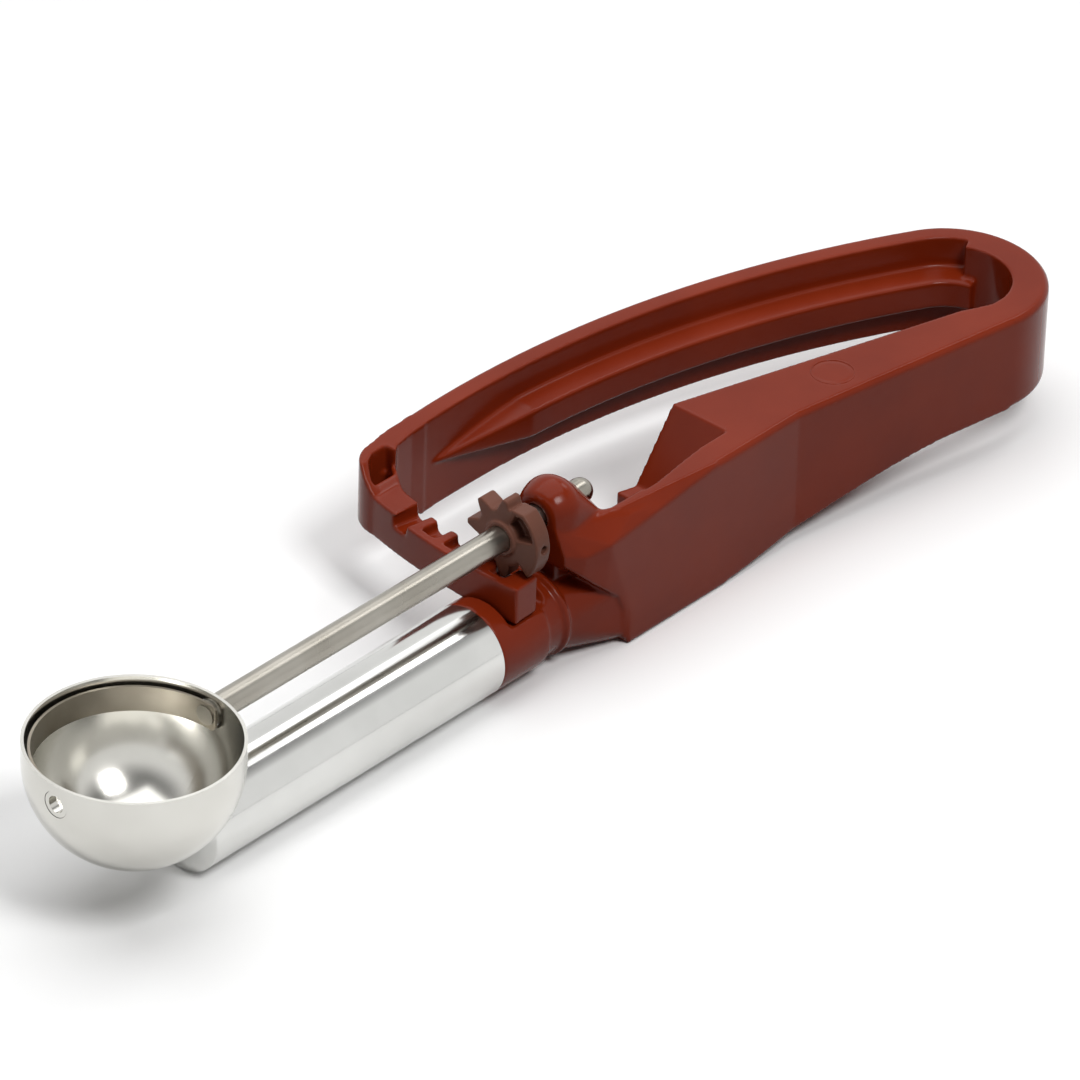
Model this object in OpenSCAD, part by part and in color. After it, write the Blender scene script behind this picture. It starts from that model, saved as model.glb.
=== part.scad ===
// Lever ice cream scoop: half-round scraper blade turned by a rack and pinion in a one-piece handle.
// Millimetres, +Z up, +X from the bowl to the handle's bend, +Y to the squeeze lever's side.
// Every module is drawn from the centre of the bowl's rim; shift moves it to the centre of the foot.

/* [Bowl] */
// Outer radius of the bowl
bowl_r = 19.6; // [15:0.1:30]
// Wall of the bowl
bowl_wall = 0.6; // [0.4:0.1:1.2]
// Height of the straight collar above the half sphere
bowl_collar = 4.0; // [2:0.5:8]

/* [Shank tube] */
// Outer radius of the tube
tube_r = 8.9; // [6:0.1:12]
// Wall of the tube
tube_wall = 0.8; // [0.5:0.1:1.5]
// Height of the tube's axis, from the rim
tube_z = -24.4; // [-30:0.1:-20]
// Front end of the tube's dome, under the bowl
tube_front = 8.5; // [6:0.5:12]
// Rear end of the tube, at the handle's collar
tube_rear = 86.9; // [70:0.1:110]

/* [Drive rod and blade] */
// Radius of the drive rod
rod_r = 2.5; // [1.5:0.1:4]
// Rear end of the rod
rod_rear = 118.8; // [110:0.1:130]
// Outer radius of the scraper blade
blade_r = 18.4; // [14:0.1:29]
// Thickness of the blade
blade_t = 0.5; // [0.3:0.1:1]
// Width of the blade
blade_w = 5.1; // [3:0.1:8]
// Radial clearance of the rod in its holes
rod_clear = 0.08; // [0.03:0.01:0.1]

/* [Pinion] */
// Front face of the pinion
pinion_front = 95.0; // [94:0.1:97]
// Rear face of the pinion
pinion_rear = 98.7; // [98:0.1:103]
// Radius at the tips of the teeth
tip_r = 8.2; // [8:0.1:8.6]
// Radius between the teeth
root_r = 5.6; // [5:0.1:6.2]
// Radius that rolls on the rack
pitch_r = 7.0; // [6.6:0.1:7.2]
// Radius of the toothless sector
sector_r = 8.6; // [7:0.1:8.8]

/* [Rack arm] */
// Radius about the hinge where the rack and the pinion roll together
mesh_r = 124.0; // [120:0.5:128]
// Inner radius of the arm about the hinge
arm_in = 123.5; // [121:0.5:124]
// Outer radius of the arm about the hinge
arm_out = 129.5; // [127:0.5:132]
// Top of the arm
arm_top = -10.5; // [-11.5:0.1:-10]
// Underside of the arm
arm_low = -18.1; // [-20:0.1:-16]
// Width of a rack notch at the top
notch_w = 3.7; // [3.5:0.1:4]
// Distance along the arm from the rod to the first notch
notch_first = 22.3; // [22:0.1:22.6]

/* [Lever and bend] */
// Distance from the bowl to the hinge axis
hinge_x = 221.0; // [200:0.5:240]
// Offset of the bend's centre to the grip side
bend_y = -1.0; // [-3:0.5:3]
// Outer radius of the bend
bend_r = 18.5; // [15:0.5:25]
// Wall of the lever and of the bend on the lever side
lever_t = 4.3; // [3:0.1:6]
// Depth of the lever from its outer face to the edge of the middle rib
rib_d = 8.9; // [6:0.1:12]
// Radius of the lever's outer face
lever_r = 215.0; // [180:5:260]
// Top of the handle
top_z = -5.0; // [-8:0.5:0]
// Underside of the lever
lever_low = -25.0; // [-28:0.1:-22]

/* [Grip] */
// Half width of the grip at the neck, on the outer side
grip_y = 11.1; // [9:0.1:14]
// Front face of the finger stop at the top
stop_x = 151.3; // [145:0.1:160]
// Largest radius of the bearing boss
boss_r = 6.3; // [5.5:0.1:7]
// Front face of the bearing boss
boss_front = 104.3; // [103.5:0.1:106]
// Radius of the plain round mark on the grip
mark_r = 4.1; // [3:0.1:5]

/* [Hidden] */
$fn = 96;

axis_z = -bowl_collar;
lever_cy = -174.0;
foot_z = tube_z - tube_r;
shift = [-(hinge_x + bend_r - bowl_r) / 2, -(lever_cy + lever_r - bowl_r) / 2, -foot_z];
tooth_step = 47;
deg = 180 / PI;
notch_step = pitch_r * tooth_step / deg;
low_rear = lever_low;
low_start = 140;
low_end = 205;
bend_start = -99.4;
lever_cx = hinge_x - sqrt(pow(lever_r - bend_r, 2) - pow(bend_y - lever_cy, 2));
bend_end = atan2(bend_y - lever_cy, hinge_x - lever_cx);
seam_angle = 0.005;
lever_start = bend_end + seam_angle;
bend_step = 26;
tangent_x = hinge_x + bend_r * cos(bend_start);
tangent_y = bend_y + bend_r * sin(bend_start);
join_x = 115.0;
join_a = acos((join_x - lever_cx) / lever_r);
wall_a = acos((join_x - 1 - lever_cx) / lever_r);
rib_x = 140.0;
rib_a = acos((rib_x - lever_cx) / (lever_r - lever_t));
mark_x = 180.1;
mark_y = -6.3;
dome_r = 14.0;
collar_end = 99.6;
rib_front = 103.9;
rib_rear = 105.1;
neck_rear = 121.0;
beam_top = -20.5;
eye_reach = 2.4;
neck_r = 1.5;
sector_start = 107;
sector_end = 222;
flat_z = 7.0;
notch_deep = 2.1;
block_y = notch_first + notch_w / 2;
block_top = arm_top + 0.85;
eps = 0.01;

function low_z(x) =
    let (t = min(1, max(0, (x - low_start) / (low_end - low_start))))
    foot_z + (low_rear - foot_z) * (3 * t * t - 2 * t * t * t);

// Round bar along X at height z.
module bar_x(x0, x1, r, z) {
    translate([x0, 0, z])
        rotate([0, 90, 0])
            cylinder(h = x1 - x0, r = r);
}

// Solid along X whose outline lies in Y and Z.
module along_x(x0, x1) {
    translate([x0, 0, 0])
        rotate([90, 0, 90])
            linear_extrude(x1 - x0)
                children();
}

// Solid along Y whose outline lies in X and Z.
module along_y(y0, y1) {
    translate([0, y1, 0])
        rotate([90, 0, 0])
            linear_extrude(y1 - y0)
                children();
}

// Solid between two heights whose outline lies in X and Y.
module along_z(z0, z1) {
    translate([0, 0, z0])
        linear_extrude(z1 - z0)
            children();
}

// Wedge of the plane between two angles.
module wedge(a0, a1, r) {
    am = (a0 + a1) / 2;
    polygon([
        [0, 0],
        [r * cos(a0), r * sin(a0)],
        [1.3 * r * cos(am), 1.3 * r * sin(am)],
        [r * cos(a1), r * sin(a1)]
    ]);
}

// Half sphere under a straight collar, both of radius r.
module cup(r, top) {
    intersection() {
        translate([0, 0, axis_z])
            sphere(r = r);
        translate([-r - 1, -r - 1, axis_z - r - 1])
            cube([2 * r + 2, 2 * r + 2, r + 1]);
    }
    translate([0, 0, axis_z])
        cylinder(h = top - axis_z, r = r);
}

module bowl() {
    color("silver")
        translate(shift)
            difference() {
                cup(bowl_r, 0);
                cup(bowl_r - bowl_wall, 5);
                bar_x(-bowl_r - 2, bowl_r + 2, rod_r + rod_clear, axis_z);
            }
}

// Round bar with a domed front end, for the outside and the inside of the tube.
module tube_form(front, rear, r, dome) {
    intersection() {
        bar_x(front - 1, rear, r, tube_z);
        union() {
            translate([front + dome, 0, tube_z])
                sphere(r = dome);
            bar_x(front + dome, rear + 1, r + 1, tube_z);
        }
    }
}

module shank_tube() {
    color("silver")
        translate(shift)
            difference() {
                tube_form(tube_front, tube_rear, tube_r, dome_r);
                tube_form(tube_front + tube_wall, tube_rear + 1, tube_r - tube_wall, dome_r - tube_wall);
                translate([0, 0, axis_z])
                    sphere(r = bowl_r);
            }
}

// Outline of a blade eye beyond the end of the half ring.
module eye_outline() {
    w = blade_w / 2;
    c = 1.2;
    translate([-eye_reach + c, -w])
        square([eye_reach - c, blade_w]);
    translate([-eye_reach, -w + c])
        square([c, blade_w - 2 * c]);
    for (s = [-1, 1])
        translate([-eye_reach + c, s * (w - c)])
            circle(r = c);
}

module scraper_blade() {
    color("gainsboro")
        translate(shift + [0, 0, axis_z])
            difference() {
                union() {
                    intersection() {
                        translate([0, 0, -blade_w / 2])
                            difference() {
                                cylinder(h = blade_w, r = blade_r);
                                translate([0, 0, -1])
                                    cylinder(h = blade_w + 2, r = blade_r - blade_t);
                            }
                        translate([-30, 0, -10])
                            cube([60, 30, 20]);
                    }
                    along_x(-blade_r, -blade_r + blade_t)
                        eye_outline();
                    along_x(blade_r - blade_t, blade_r)
                        eye_outline();
                }
                bar_x(-blade_r - 1, -blade_r + blade_t + 1, 2.1, 0);
                bar_x(-blade_r + blade_t, -blade_r + 3, 2.6, 0);
                bar_x(blade_r - blade_t - 1, blade_r + 1, neck_r, 0);
                bar_x(blade_r - 3, blade_r - blade_t, 2.0, 0);
            }
}

module blade_pivot() {
    color("silver")
        translate(shift + [0, 0, axis_z])
            difference() {
                union() {
                    bar_x(-bowl_r + 0.25, -blade_r, rod_r, 0);
                    bar_x(-blade_r - 0.1, -blade_r + blade_t + 0.1, 2.1, 0);
                    bar_x(-blade_r + blade_t, -blade_r + blade_t + 0.3, 2.5, 0);
                }
                bar_x(-bowl_r - 1, 0, 1.65, 0);
            }
}

// Flat side of the rod that drives the pinion.
module rod_flat() {
    translate([pinion_front + 0.8, -rod_r - 1, rod_r - 0.6])
        cube([pinion_rear - pinion_front - 1.6, 2 * rod_r + 2, 3]);
}

module drive_rod() {
    color("lightgray")
        translate(shift + [0, 0, axis_z]) {
            difference() {
                union() {
                    bar_x(blade_r, rod_rear - rod_r, rod_r, 0);
                    translate([rod_rear - rod_r, 0, 0])
                        sphere(r = rod_r);
                }
                rod_flat();
            }
            bar_x(blade_r - blade_t - 0.1, blade_r + 0.1, neck_r, 0);
            bar_x(blade_r - blade_t - 0.25, blade_r - blade_t, 1.9, 0);
        }
}

// One blocky tooth that points along the first axis.
module tooth() {
    polygon([
        [4.5, -1.9],
        [6.2, -1.4],
        [7.8, -0.75],
        [tip_r, -0.45],
        [tip_r, 0.45],
        [7.8, 0.75],
        [6.2, 1.4],
        [4.5, 1.9]
    ]);
}

// Toothless sector with a flat on its leading side, which ends the travel against the rack's block.
module sector() {
    intersection() {
        circle(r = sector_r);
        wedge(sector_start, sector_end, 20);
        translate([-20, -20])
            square([40, 20 + flat_z]);
    }
}

// Pocket in the front face of the sector.
module sector_pocket() {
    difference() {
        intersection() {
            circle(r = sector_r - 1.0);
            wedge(sector_start + 10, 165, 20);
            translate([-20, -20])
                square([40, 20 + flat_z - 1.0]);
        }
        circle(r = 3.9);
    }
}

module pinion() {
    color("saddlebrown")
        translate(shift + [0, 0, axis_z])
            difference() {
                union() {
                    along_x(pinion_front, pinion_rear)
                        union() {
                            circle(r = root_r);
                            for (k = [-2:2])
                                rotate(k * tooth_step)
                                    tooth();
                            sector();
                        }
                    bar_x(pinion_front - 0.5, pinion_front + 0.1, 3.4, 0);
                }
                difference() {
                    bar_x(pinion_front - 1, pinion_rear + 1, rod_r, 0);
                    rod_flat();
                }
                along_x(pinion_front - eps, pinion_front + 2.4)
                    sector_pocket();
                rotate([-2, 0, 0])
                    translate([pinion_front + 2.0, -sector_r - 1, 0])
                        rotate([-90, 0, 0])
                            cylinder(h = 2.2, r = 0.8);
            }
}

// Outline of the grip seen from above, with the finger stop.
module grip_plan() {
    polygon([
        [118.5, -grip_y],
        [165.0, -grip_y],
        [tangent_x, tangent_y],
        [hinge_x + 11.5 * cos(bend_start), bend_y + 11.5 * sin(bend_start)],
        [216.2, -11.1],
        [213.0, -9.6],
        [140.0, 11.3],
        [140.0, -5.6],
        [137.4, -5.9],
        [129.8, -7.0],
        [124.8, -7.0],
        [118.5, -6.5]
    ]);
}

// Outline of the grip seen from the side, without the hollow in front of the finger stop.
module grip_side() {
    low = [for (k = [0:12]) let (x = low_start + k * (low_end - low_start) / 12) [x, low_z(x)]];
    polygon(concat(
        [[250, top_z], [100, top_z], [100, foot_z]],
        low,
        [[250, low_rear]]
    ));
}

// Hollow in front of the finger stop, seen from the side.
module stop_hollow() {
    polygon([
        [100, 0],
        [stop_x, 0],
        [stop_x, top_z],
        [stop_x - 7.3, beam_top],
        [100, beam_top]
    ]);
}

// Cutter that bevels the grip's top outer edge between two points of its side.
module edge_cut(x0, x1, y0, y1) {
    hull()
        for (e = [[x0, y0], [x1, y1]])
            along_x(e[0] - eps, e[0] + eps)
                polygon([
                    [e[1] - 0.3, top_z + 0.2],
                    [e[1] + 0.8, top_z + 0.2],
                    [e[1] + 0.8, top_z],
                    [e[1], top_z - 0.8],
                    [e[1] - 0.3, top_z - 0.8]
                ]);
}

// Grip wall, finger stop and the plain round mark.
module grip_main() {
    difference() {
        intersection() {
            along_z(foot_z, top_z)
                grip_plan();
            along_y(-40, 40)
                grip_side();
        }
        intersection() {
            along_y(-40, 40)
                stop_hollow();
            along_z(-60, 10)
                polygon([[100, 30], [160, 30], [160, -4.8], [143.7, -5.2], [137.4, -5.9], [129.8, -7.0],
                    [124.8, -7.0], [118.5, -6.5], [100, -6.5]]);
        }
        hull() {
            along_x(114, 114 + eps)
                polygon([[-grip_y - 0.1, top_z + 0.1], [-7.2, top_z + 0.1], [-grip_y - 0.1, -9.0]]);
            along_x(142, 142 + eps)
                polygon([[-grip_y - 0.1, top_z + 0.1], [-10.5, top_z + 0.1], [-grip_y - 0.1, -5.6]]);
        }
        edge_cut(142, 165, -grip_y, -grip_y);
        edge_cut(165, tangent_x, -grip_y, tangent_y);
        translate([mark_x, mark_y, top_z - 0.25])
            difference() {
                cylinder(h = 1, r = mark_r);
                translate([0, 0, -1])
                    cylinder(h = 3, r = mark_r - 0.5);
            }
    }
}

// Beam that carries the neck to the finger stop.
module grip_beam() {
    along_x(neck_rear - eps, 146)
        polygon([
            [-grip_y, beam_top],
            [-grip_y, foot_z],
            [4.0, foot_z],
            [7.0, foot_z + 3],
            [7.0, beam_top - 2],
            [5.0, beam_top]
        ]);
    hull() {
        bar_x(rib_rear - 0.5, rib_rear, 8.1, tube_z);
        along_x(neck_rear - 0.2, neck_rear)
            polygon([
                [-grip_y, beam_top],
                [-grip_y, foot_z + 1.5],
                [-grip_y + 1.5, foot_z],
                [4.0, foot_z],
                [7.0, foot_z + 3],
                [7.0, beam_top - 2],
                [5.0, beam_top]
            ]);
    }
}

// Outline of the neck seen from the side.
module neck_outline() {
    polygon([
        [boss_front, -4.5],
        [110.0, top_z],
        [126.0, top_z],
        [126.0, foot_z + 0.3],
        [119.0, foot_z + 0.3],
        [117.8, foot_z + 1.2],
        [117.3, -25.7],
        [115.7, -21.9],
        [110.0, -16.9],
        [boss_front, -11.5]
    ]);
}

// Outline of the neck seen from above.
module neck_plan() {
    polygon([
        [100.0, -3.0],
        [115.4, -3.0],
        [115.4, -4.6],
        [116.0, -5.8],
        [117.3, -6.4],
        [126.0, -6.6],
        [126.0, -20.0],
        [100.0, -20.0]
    ]);
}

// Side panel that widens from the boss to the grip's side.
module neck_panel() {
    intersection() {
        along_y(-20, -3)
            neck_outline();
        along_z(-50, 5)
            neck_plan();
        hull() {
            along_y(-4.5, -3.0)
                polygon([[104.0, -4.5], [126.0, top_z], [126.0, foot_z], [104.0, foot_z]]);
            along_y(-7.2, -7.0)
                polygon([[104.2, -9.4], [116.0, top_z], [126.0, top_z], [126.0, foot_z], [104.2, foot_z]]);
            along_y(-9.6, -9.5)
                polygon([[107.6, -10.0], [120.0, -6.2], [126.0, -6.0], [126.0, foot_z], [112.0, foot_z]]);
            along_y(-grip_y, -grip_y + eps)
                polygon([[112.6, -9.0], [126.0, -7.6], [126.0, foot_z], [121.0, foot_z + 1.5], [119.6, -26.0],
                    [117.4, -20.5], [114.4, -14.4]]);
        }
    }
    along_y(-3.5, 4.6)
        polygon([
            [106.0, -5.0],
            [115.4, top_z],
            [115.4, -7.5],
            [neck_rear, -21.0],
            [neck_rear, -24.0],
            [106.0, -24.0]
        ]);
}

// Outline turned about the rod's axis for the rounded bearing boss.
module boss_dome() {
    translate([0, 0, axis_z])
        rotate([90, 0, 90])
            rotate_extrude($fn = 48)
                polygon([
                    [0, boss_front],
                    [3.9, boss_front],
                    [4.7, boss_front + 0.4],
                    [5.3, boss_front + 1.2],
                    [5.8, boss_front + 2.3],
                    [boss_r - 0.1, boss_front + 3.6],
                    [boss_r, boss_front + 4.6],
                    [boss_r - 0.1, boss_front + 5.5],
                    [5.7, boss_front + 6.6],
                    [4.8, boss_front + 7.7],
                    [2.2, 114.8],
                    [0, 114.8]
                ]);
}

// Bearing boss of the rod, growing out of the neck.
module boss() {
    hull() {
        boss_dome();
        along_x(boss_front, 113.0)
            polygon([[-6.0, -10.2], [-5.2, -8.0], [4.6, -8.0], [4.6, -12.5], [-6.6, -12.5]]);
        along_x(112.0, 116.5)
            polygon([[-6.3, -6.6], [4.0, -7.4], [4.0, -12.5], [-6.6, -12.5]]);
    }
}

module grip_body() {
    color("firebrick")
        translate(shift)
            difference() {
                union() {
                    bar_x(56, tube_rear + 0.1, tube_r - tube_wall - 0.05, tube_z);
                    bar_x(tube_rear, collar_end, tube_r, tube_z);
                    bar_x(collar_end - eps, rib_front + 0.1, 8.1, tube_z);
                    bar_x(rib_front, rib_rear, tube_r, tube_z);
                    grip_beam();
                    neck_panel();
                    boss();
                    grip_main();
                }
                bar_x(55, 84, 5.6, tube_z);
                bar_x(100, 125, rod_r + rod_clear, axis_z);
                along_y(-20, 20)
                    union() {
                        translate([91.0, -17.1])
                            square([10.8, 20]);
                        translate([91.0, -18.7])
                            square([9.2, 5]);
                        translate([100.2, -17.1])
                            circle(r = 1.6);
                    }
            }
}

// Cross section of the lever's wall, with its outer face at radius r.
module wall_section(r) {
    polygon([
        [r - lever_t, top_z],
        [r - 0.8, top_z],
        [r, top_z - 0.8],
        [r, lever_low + 0.8],
        [r - 0.8, lever_low],
        [r - lever_t, lever_low]
    ]);
}

// Cross section of the middle rib on the wall's inner face.
module rib_section(r) {
    polygon([
        [r - lever_t + 0.5, -11.2],
        [r - lever_t + 0.5, -18.8],
        [r - lever_t, -18.8],
        [r - rib_d, -17.8],
        [r - rib_d, -12.2],
        [r - lever_t, -11.2]
    ]);
}

module handle_bend() {
    color("firebrick")
        translate(shift)
            translate([hinge_x, bend_y, 0])
                rotate([0, 0, bend_start]) {
                    rotate_extrude(angle = bend_end - bend_start)
                        wall_section(bend_r);
                    rotate_extrude(angle = bend_step - bend_start)
                        translate([11.5, lever_low])
                            square([bend_r - lever_t + 0.5 - 11.5, top_z - lever_low]);
                    rotate([0, 0, bend_step - 12 - bend_start])
                        rotate_extrude(angle = bend_end - bend_step + 12)
                            rib_section(bend_r);
                }
}

// Outline of the lever's free corner seen from above.
module corner_plan() {
    difference() {
        union() {
            translate([102.9, 31.4])
                circle(r = 7.6);
            polygon([
                [93.3, 21.0],
                [99.2, 21.0],
                [join_x, 21.0],
                [join_x, lever_cy + lever_r * sin(join_a) - 0.4],
                [106.8, 39.75],
                [100.6, 38.5],
                [102.9, 31.4],
                [95.6, 31.4]
            ]);
        }
        polygon([
            [99.2, 10.0],
            [99.2, 24.0],
            [101.3, 29.3],
            [104.4, 34.0],
            [106.0, 35.0],
            [111.0, 35.9],
            [join_x + 1, 36.2],
            [130.0, 36.2],
            [130.0, 10.0]
        ]);
    }
}

// Pocket of the lever's corner seen from above.
module pocket_plan() {
    polygon([
        [97.2, 32.6],
        [97.6, 34.2],
        [99.0, 35.6],
        [100.8, 36.5],
        [102.8, 36.5],
        [104.2, 35.7],
        [103.7, 34.4],
        [102.4, 32.6]
    ]);
}

// Lever corner with its thin rim, pocket and ledge, and the block that ends the rack.
module lever_corner() {
    difference() {
        union() {
            along_z(arm_low, arm_top)
                corner_plan();
            intersection() {
                along_z(arm_low - 10, arm_top - 1)
                    corner_plan();
                along_y(10, 50)
                    polygon([[100.5, arm_low + 1], [100.5, arm_low - 0.3], [join_x, lever_low],
                        [join_x, arm_low + 1]]);
            }
            along_z(arm_top - eps, top_z)
                intersection() {
                    corner_plan();
                    translate([104.4, 20])
                        square([20, 30]);
                }
            along_z(arm_top - eps, block_top)
                intersection() {
                    union() {
                        corner_plan();
                        arm_plan(31.4, 20.0);
                    }
                    translate([88, block_y])
                        square([17, 10]);
                }
            intersection() {
                along_z(arm_top - eps, top_z)
                    corner_plan();
                along_x(90, 106)
                    polygon([[30.6, arm_top], [30.6, block_top], [32.5, block_top + 1.1], [34.6, block_top + 1.1],
                        [34.6, arm_top]]);
            }
            intersection() {
                along_z(arm_top - eps, top_z)
                    difference() {
                        corner_plan();
                        polygon([[97.0, 26.0], [97.0, 33.2], [98.6, 35.4], [100.8, 36.5], [106.0, 36.5],
                            [106.0, 26.0]]);
                    }
                along_x(80, 120)
                    polygon([[29.0, arm_top], [30.8, block_top], [35.4, top_z], [50.0, top_z], [50.0, arm_top]]);
            }
        }
        along_z(-15.5, 0)
            pocket_plan();
    }
}

// Ring sector of the rack arm between two sideways positions.
module arm_plan(y_far, y_near) {
    a_far = 180 - asin(y_far / arm_out);
    a_near = 180 - asin(y_near / arm_out);
    translate([hinge_x, 0])
        intersection() {
            difference() {
                circle(r = arm_out, $fn = 360);
                circle(r = arm_in, $fn = 360);
            }
            wedge(a_far, a_near, 200);
        }
}

// Cutter of one rack notch at a distance s along the arm, open or blind at the front.
module notch(s, front) {
    w = notch_w / 2;
    translate([hinge_x, 0, 0])
        rotate([0, 0, 180 - s / mesh_r * deg])
            along_x(arm_in - 2, front)
                polygon([
                    [-w - 0.05, arm_top + 0.4],
                    [-w + 0.1, arm_top - notch_deep + 0.4],
                    [-w + 0.5, arm_top - notch_deep],
                    [w - 0.5, arm_top - notch_deep],
                    [w - 0.1, arm_top - notch_deep + 0.4],
                    [w + 0.05, arm_top + 0.4]
                ]);
}

module squeeze_lever() {
    color("firebrick")
        translate(shift)
            difference() {
                union() {
                    translate([lever_cx, lever_cy, 0])
                        rotate([0, 0, lever_start]) {
                            rotate_extrude(angle = wall_a - lever_start, $fn = 360)
                                wall_section(lever_r);
                            rotate_extrude(angle = rib_a - lever_start, $fn = 360)
                                rib_section(lever_r);
                        }
                    rib_taper();
                    along_z(arm_low, arm_top)
                        arm_plan(31.4, -7.0);
                    lever_corner();
                }
                notch(notch_first, arm_out + 1);
                for (k = [1:4])
                    notch(notch_first - k * notch_step, arm_out - 1.9);
            }
}

// Run-out of the lever's middle rib to a point near the free corner.
module rib_taper() {
    hull() {
        along_x(rib_x, rib_x + 0.3)
            polygon([[31.75, -12.2], [31.75, -17.8], [36.8, -18.8], [36.8, -11.2]]);
        along_x(rib_x - 23, rib_x - 22.8)
            polygon([[36.4, -14.8], [36.4, -15.2], [36.9, -15.4], [36.9, -14.6]]);
    }
}

bowl();
shank_tube();
scraper_blade();
blade_pivot();
drive_rod();
pinion();
grip_body();
handle_bend();
squeeze_lever();
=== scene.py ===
import math

import bmesh
import bpy
from mathutils import Matrix, Vector


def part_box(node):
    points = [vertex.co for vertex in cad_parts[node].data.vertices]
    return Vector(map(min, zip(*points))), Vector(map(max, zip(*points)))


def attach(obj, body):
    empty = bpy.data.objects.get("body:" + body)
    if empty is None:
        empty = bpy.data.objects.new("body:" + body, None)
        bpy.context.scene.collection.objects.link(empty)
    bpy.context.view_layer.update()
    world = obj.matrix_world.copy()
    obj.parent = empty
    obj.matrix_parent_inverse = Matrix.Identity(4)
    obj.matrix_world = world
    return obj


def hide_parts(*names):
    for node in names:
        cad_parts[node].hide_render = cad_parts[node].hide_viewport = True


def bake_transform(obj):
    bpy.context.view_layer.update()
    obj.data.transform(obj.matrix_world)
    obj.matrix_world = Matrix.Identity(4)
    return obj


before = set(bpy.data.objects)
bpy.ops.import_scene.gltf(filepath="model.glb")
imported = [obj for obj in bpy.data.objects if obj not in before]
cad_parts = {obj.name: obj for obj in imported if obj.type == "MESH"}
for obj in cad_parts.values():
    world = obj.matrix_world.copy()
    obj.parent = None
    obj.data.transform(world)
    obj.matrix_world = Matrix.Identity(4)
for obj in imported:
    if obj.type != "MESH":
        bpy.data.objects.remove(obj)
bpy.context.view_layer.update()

# Metres, in the frame of the solids: +X from the bowl to the handle's bend, +Y to the lever's side.

# Moulded edges: size of the remesh cells, smoothing passes and the share of triangles that is kept.
handle_voxel = 0.00028
handle_passes = 14
handle_share = 0.3
gear_voxel = 0.0002
gear_passes = 5
gear_share = 0.5
# Plane across the handle. The bending form lies behind it, and the stiff neck and rack arm before it.
split_x = 0.0195

# Plain round mark on the grip's top.
mark_x = 0.07015
mark_y = -0.017
mark_radius = 0.0041
mark_wire = 0.00011
mark_sink = 0.00005

# The photograph's camera, worked out from the bowl's round rim, the tube and the rod. Angles in degrees.
camera_at = (-1.03179, -0.88634, 0.92054)
camera_yaw = 40.4341
camera_pitch = 33.5955
camera_roll = 1.9613
camera_lens = 300

# The floor, and how bright it and the sky are as a light. Where they are seen they are nearly white.
floor_size = 6
floor_z = -0.0002
floor_seen = (0.93, 0.93, 0.93)
floor_as_light = (0.25, 0.25, 0.25)
sky_as_light = 0.08
# Strength of the seen sky from these heights of the ray's direction: white below, dim overhead.
sky_low_z = 0.62
sky_high_z = 0.80
sky_overhead = 0.2


# Node helpers ---------------------------------------------------------------

def new_material(name):
    """An empty node material with its Principled shader: the material, its tree and the shader."""
    m = bpy.data.materials.new(name)
    m.use_nodes = True
    t = m.node_tree
    t.nodes.clear()
    out = t.nodes.new("ShaderNodeOutputMaterial")
    b = t.nodes.new("ShaderNodeBsdfPrincipled")
    t.links.new(b.outputs["BSDF"], out.inputs["Surface"])
    return m, t, b


def coords(t, scale=(1, 1, 1)):
    """The piece's own coordinates, stretched by the scale."""
    c = t.nodes.new("ShaderNodeTexCoord")
    mp = t.nodes.new("ShaderNodeMapping")
    mp.inputs["Scale"].default_value = scale
    t.links.new(c.outputs["Object"], mp.inputs["Vector"])
    return mp.outputs["Vector"]


def noise(t, vec, scale, detail=3.0, rough=0.5):
    n = t.nodes.new("ShaderNodeTexNoise")
    n.inputs["Scale"].default_value = scale
    n.inputs["Detail"].default_value = detail
    n.inputs["Roughness"].default_value = rough
    t.links.new(vec, n.inputs["Vector"])
    return n.outputs["Fac"]


def spread(t, fac, low, high, f0=0.3, f1=0.7):
    """A value from low to high while the factor goes from f0 to f1."""
    r = t.nodes.new("ShaderNodeMapRange")
    r.inputs["From Min"].default_value = f0
    r.inputs["From Max"].default_value = f1
    r.inputs["To Min"].default_value = low
    r.inputs["To Max"].default_value = high
    t.links.new(fac, r.inputs["Value"])
    return r.outputs["Result"]


def tint(t, fac, c0, c1, p0=0.3, p1=0.7):
    """A colour from c0 to c1 while the factor goes from p0 to p1."""
    r = t.nodes.new("ShaderNodeValToRGB")
    r.color_ramp.elements[0].position = p0
    r.color_ramp.elements[1].position = p1
    r.color_ramp.elements[0].color = (*c0, 1)
    r.color_ramp.elements[1].color = (*c1, 1)
    t.links.new(fac, r.inputs["Fac"])
    return r.outputs["Color"]


def bump(t, b, height, strength, distance):
    n = t.nodes.new("ShaderNodeBump")
    n.inputs["Strength"].default_value = strength
    n.inputs["Distance"].default_value = distance
    t.links.new(height, n.inputs["Height"])
    t.links.new(n.outputs["Normal"], b.inputs["Normal"])


# Materials ------------------------------------------------------------------

def steel(name, dark, light, rough, grain, relief):
    """Steel with cloudy tone and roughness, and fine lines that are drawn out by the grain's scale."""
    m, t, b = new_material(name)
    b.inputs["Metallic"].default_value = 1.0
    large = noise(t, coords(t), 60.0, 4.0)
    lines = noise(t, coords(t, grain), 400.0, 2.0, 0.6)
    t.links.new(tint(t, large, dark, light), b.inputs["Base Color"])
    t.links.new(spread(t, large, *rough), b.inputs["Roughness"])
    bump(t, b, lines, relief, 0.00002)
    return m


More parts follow.
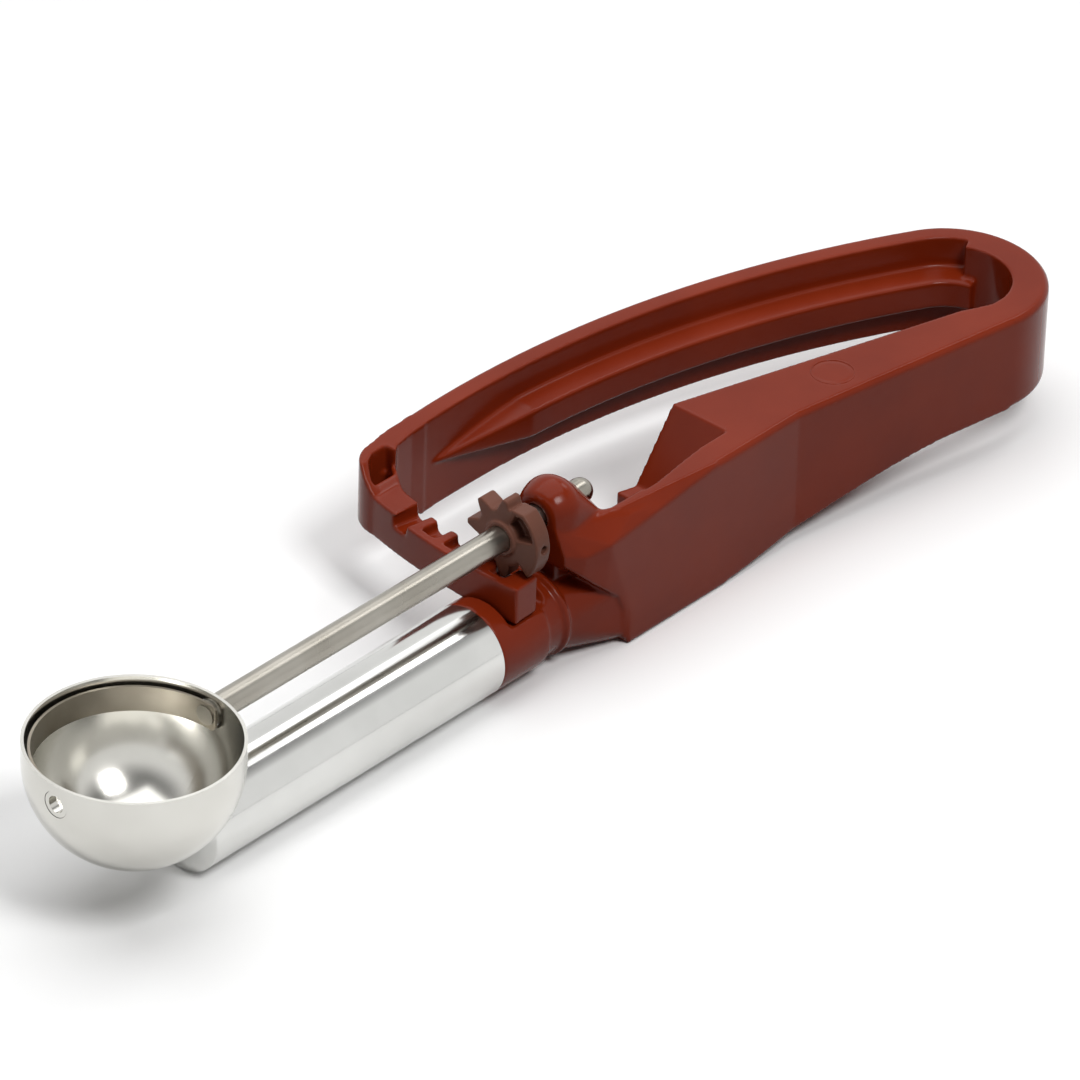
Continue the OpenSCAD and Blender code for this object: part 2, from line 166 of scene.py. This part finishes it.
def plastic(name, dark, light, rough):
    """Semi-gloss moulded plastic with cloudy tone and roughness, and a fine skin."""
    m, t, b = new_material(name)
    b.inputs["Specular IOR Level"].default_value = 0.14
    large = noise(t, coords(t), 45.0, 5.0)
    fine = noise(t, coords(t), 1500.0, 2.0)
    t.links.new(tint(t, large, dark, light), b.inputs["Base Color"])
    t.links.new(spread(t, large, *rough), b.inputs["Roughness"])
    bump(t, b, fine, 0.12, 0.00003)
    return m


polished = steel(
    "polished_steel",
    dark=(0.60, 0.60, 0.58),
    light=(0.68, 0.68, 0.66),
    rough=(0.10, 0.15),
    grain=(0.05, 1, 1),
    relief=0.05,
)
cup_steel = steel(
    "cup_steel",
    dark=(0.57, 0.56, 0.52),
    light=(0.66, 0.65, 0.61),
    rough=(0.15, 0.22),
    grain=(1, 1, 0.2),
    relief=0.06,
)
satin = steel(
    "satin_steel",
    dark=(0.27, 0.25, 0.21),
    light=(0.40, 0.38, 0.34),
    rough=(0.24, 0.32),
    grain=(0.04, 1, 1),
    relief=0.25,
)
strip_steel = steel(
    "strip_steel",
    dark=(0.22, 0.19, 0.15),
    light=(0.33, 0.30, 0.25),
    rough=(0.26, 0.34),
    grain=(1, 1, 0.05),
    relief=0.25,
)
terracotta = plastic(
    "terracotta_plastic",
    dark=(0.170, 0.016, 0.003),
    light=(0.210, 0.022, 0.005),
    rough=(0.17, 0.27),
)
brown = plastic(
    "brown_plastic",
    dark=(0.115, 0.046, 0.030),
    light=(0.155, 0.058, 0.038),
    rough=(0.30, 0.42),
)


def paint(piece, mat):
    piece.data.materials.clear()
    piece.data.materials.append(mat)


def refinish(node, mat):
    """Gives a solid that is shown as it is another material in its slots."""
    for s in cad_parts[node].material_slots:
        s.material = mat


refinish("bowl", cup_steel)
refinish("shank_tube", polished)
refinish("scraper_blade", strip_steel)
refinish("blade_pivot", cup_steel)
refinish("drive_rod", satin)


# Moulded pieces: the plastic's solids with their edges rounded as a mould leaves them ---------

def moulded(name, nodes, voxel, passes, share):
    """One closed mesh of the nodes' solids, with its edges rounded and its triangles thinned to a share."""
    bm = bmesh.new()
    for node in nodes:
        bm.from_mesh(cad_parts[node].data)
    mesh = bpy.data.meshes.new(name)
    bm.to_mesh(mesh)
    bm.free()
    piece = bpy.data.objects.new(name, mesh)
    bpy.context.scene.collection.objects.link(piece)
    remesh = piece.modifiers.new("remesh", "REMESH")
    remesh.mode = "VOXEL"
    remesh.voxel_size = voxel
    remesh.use_smooth_shade = True
    soften = piece.modifiers.new("soften", "SMOOTH")
    soften.factor = 0.5
    soften.iterations = passes
    thin = piece.modifiers.new("thin", "DECIMATE")
    thin.ratio = share
    view = bpy.context.evaluated_depsgraph_get()
    piece.data = bpy.data.meshes.new_from_object(piece.evaluated_get(view))
    piece.modifiers.clear()
    return piece


def moulded_handle(name, nodes):
    return moulded(name, nodes, handle_voxel, handle_passes, handle_share)


def cut(piece, x, side):
    """Keeps the part of the piece on one side (+1 or -1) of the plane X = x, and closes the cut."""
    bm = bmesh.new()
    bm.from_mesh(piece.data)
    made = bmesh.ops.bisect_plane(
        bm,
        geom=bm.verts[:] + bm.edges[:] + bm.faces[:],
        plane_co=(x, 0, 0),
        plane_no=(side, 0, 0),
        clear_inner=True,
    )
    rim = [e for e in made["geom_cut"] if isinstance(e, bmesh.types.BMEdge)]
    for e in rim:
        e.smooth = False
    bmesh.ops.edgeloop_fill(bm, edges=rim)
    bm.to_mesh(piece.data)
    bm.free()


def round_mark(name):
    """The plain round mould mark on the grip's top: a fine raised ring, half sunk in the plastic."""
    grip_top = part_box("handle_bend")[1][2]
    bpy.ops.mesh.primitive_torus_add(
        location=(mark_x, mark_y, grip_top - mark_sink),
        major_radius=mark_radius,
        minor_radius=mark_wire,
        major_segments=96,
        minor_segments=10,
    )
    ring = bpy.context.object
    ring.name = name
    bpy.ops.object.shade_smooth()
    return ring


loop = moulded_handle("handle_moulding", ["grip_body", "handle_bend", "squeeze_lever"])
neck = moulded_handle("handle_neck", ["grip_body"])
arm = moulded_handle("rack_arm", ["squeeze_lever"])
gear = moulded("pinion_moulding", ["pinion"], gear_voxel, gear_passes, gear_share)
cut(loop, split_x, 1)
cut(neck, split_x, -1)
cut(arm, split_x, -1)
mark = round_mark("mould_mark")
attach(mark, "handle")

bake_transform(loop)
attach(neck, "handle")
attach(arm, "lever")
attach(gear, "scraper")
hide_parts("grip_body", "handle_bend", "squeeze_lever")
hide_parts("grip_body")
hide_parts("squeeze_lever")
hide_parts("pinion")
for piece in (loop, neck, arm, mark):
    paint(piece, terracotta)
paint(gear, brown)


# Stage ----------------------------------------------------------------------

def seen(t):
    """1 for rays that show the background, in the camera, in metal or through glass, and 0 for the rest."""
    path = t.nodes.new("ShaderNodeLightPath")
    last = path.outputs["Is Camera Ray"]
    for kind in ("Is Glossy Ray", "Is Transmission Ray"):
        add = t.nodes.new("ShaderNodeMath")
        add.operation = "MAXIMUM"
        t.links.new(last, add.inputs[0])
        t.links.new(path.outputs[kind], add.inputs[1])
        last = add.outputs["Value"]
    return last


def white_stage():
    m, t, b = new_material("stage_white")
    t.links.new(tint(t, seen(t), floor_as_light, floor_seen, 0.0, 1.0), b.inputs["Base Color"])
    b.inputs["Roughness"].default_value = 0.9
    b.inputs["Specular IOR Level"].default_value = 0.0
    return m


bpy.ops.mesh.primitive_plane_add(size=floor_size, location=(0, 0, floor_z))
floor = bpy.context.object
floor.name = "floor"
floor.data.materials.append(white_stage())


def studio_sky():
    """White low down and dim overhead where the camera or metal shows it, and dim all over as a light."""
    world = bpy.data.worlds.new("world") if not bpy.data.worlds else bpy.data.worlds[0]
    bpy.context.scene.world = world
    world.use_nodes = True
    t = world.node_tree
    t.nodes.clear()
    out = t.nodes.new("ShaderNodeOutputWorld")
    background = t.nodes.new("ShaderNodeBackground")
    background.inputs["Color"].default_value = (1, 1, 1, 1)
    sky = t.nodes.new("ShaderNodeTexCoord")
    ray = t.nodes.new("ShaderNodeSeparateXYZ")
    t.links.new(sky.outputs["Generated"], ray.inputs["Vector"])
    shown = spread(t, ray.outputs["Z"], 1.0, sky_overhead, sky_low_z, sky_high_z)
    dim = spread(t, seen(t), sky_as_light, 1.0, 0.0, 1.0)
    level = t.nodes.new("ShaderNodeMath")
    level.operation = "MINIMUM"
    t.links.new(shown, level.inputs[0])
    t.links.new(dim, level.inputs[1])
    t.links.new(level.outputs["Value"], background.inputs["Strength"])
    t.links.new(background.outputs["Background"], out.inputs["Surface"])


def lamp(name, where, target, size, power):
    """A soft rectangular lamp that faces the target. Size in metres, power in watts."""
    d = bpy.data.lights.new(name, "AREA")
    d.shape = "RECTANGLE"
    d.size, d.size_y = size
    d.energy = power
    o = bpy.data.objects.new(name, d)
    bpy.context.scene.collection.objects.link(o)
    o.location = where
    o.rotation_euler = (Vector(target) - Vector(where)).to_track_quat("-Z", "Y").to_euler()


def photo_camera():
    d = bpy.data.cameras.new("camera")
    d.sensor_width = 36
    d.lens = camera_lens
    d.clip_start = 0.1
    d.clip_end = 20
    o = bpy.data.objects.new("camera", d)
    bpy.context.scene.collection.objects.link(o)
    turn = Matrix.Rotation(math.radians(camera_yaw - 90), 4, "Z")
    tilt = Matrix.Rotation(math.radians(90 - camera_pitch), 4, "X")
    roll = Matrix.Rotation(math.radians(camera_roll), 4, "Z")
    o.matrix_world = Matrix.Translation(camera_at) @ turn @ tilt @ roll
    bpy.context.scene.camera = o


studio_sky()
lamp("top", (0.1, 0.35, 1.4), (0.0, 0.0, 0.0), (1.7, 1.7), 18.0)
lamp("key", (-0.15, -0.75, 1.1), (0.0, 0.0, 0.0), (0.4, 0.4), 9.5)
lamp("back", (0.76, -0.04, 0.86), (0.0, 0.0, 0.02), (0.3, 0.3), 1.2)
lamp("front", (-1.0, 0.25, 0.25), (0.0, 0.0, 0.02), (0.6, 0.4), 1.0)
photo_camera()
bpy.context.scene.view_settings.view_transform = "Standard"
